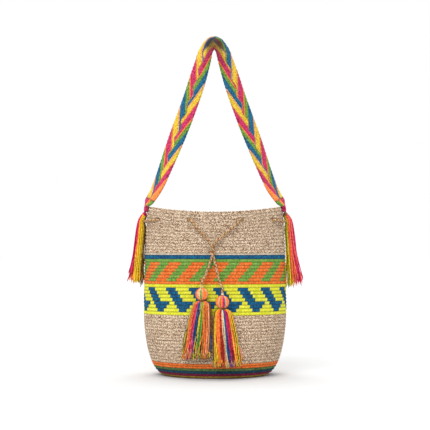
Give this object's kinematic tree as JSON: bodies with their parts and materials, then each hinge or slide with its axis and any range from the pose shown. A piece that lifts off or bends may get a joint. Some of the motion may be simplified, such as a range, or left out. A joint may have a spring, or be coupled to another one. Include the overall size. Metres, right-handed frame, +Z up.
{
  "type": "wayuu mochila bag",
  "caption": "Crocheted bucket bag with a round base, a braided shoulder strap tied at the side folds, and a laced drawstring that ends in tassels.",
  "frame": {"origin": "middle of the flat base, on the surface that the bag stands on", "axes": "+Z up; the front with the tassels faces -Y; the strap's ends are at -X and +X"},
  "size_m": [0.3036, 0.1887, 0.5902],
  "materials": {
    "crocheted_cotton": "single crochet in cotton yarn, natural melange with bright bands",
    "braided_strap": "flat chevron braid in bright cotton yarn",
    "strap_yarn": "loose bright cotton yarn",
    "drawstring_cord": "thin round braid of mixed cotton yarn",
    "tassel_yarn": "folded and hanging bright cotton yarn",
    "binding_thread": "waxed cotton thread"
  },
  "bodies": {
    "bag": {"bag_body": "crocheted_cotton", "strap": "braided_strap", "strap_knot_left": "strap_yarn", "strap_knot_right": "strap_yarn", "strap_fringe_left": "strap_yarn", "strap_fringe_right": "strap_yarn", "drawstring": "drawstring_cord"},
    "left_tassel": {"tassel_left": "tassel_yarn", "tassel_left_binding": "binding_thread"},
    "right_tassel": {"tassel_right": "tassel_yarn", "tassel_right_binding": "binding_thread"}
  },
  "joints": [
    {"name": "tassel_left_swing", "type": "hinge", "parent": "bag", "child": "left_tassel", "pos_m": [-0.0222, -0.08164, 0.1556], "axis": [-1, 0, 0], "range_deg": [0, 75]},
    {"name": "tassel_right_swing", "type": "hinge", "parent": "bag", "child": "right_tassel", "pos_m": [0.0123, -0.08394, 0.143], "axis": [-1, 0, 0], "range_deg": [0, 75]}
  ]
}
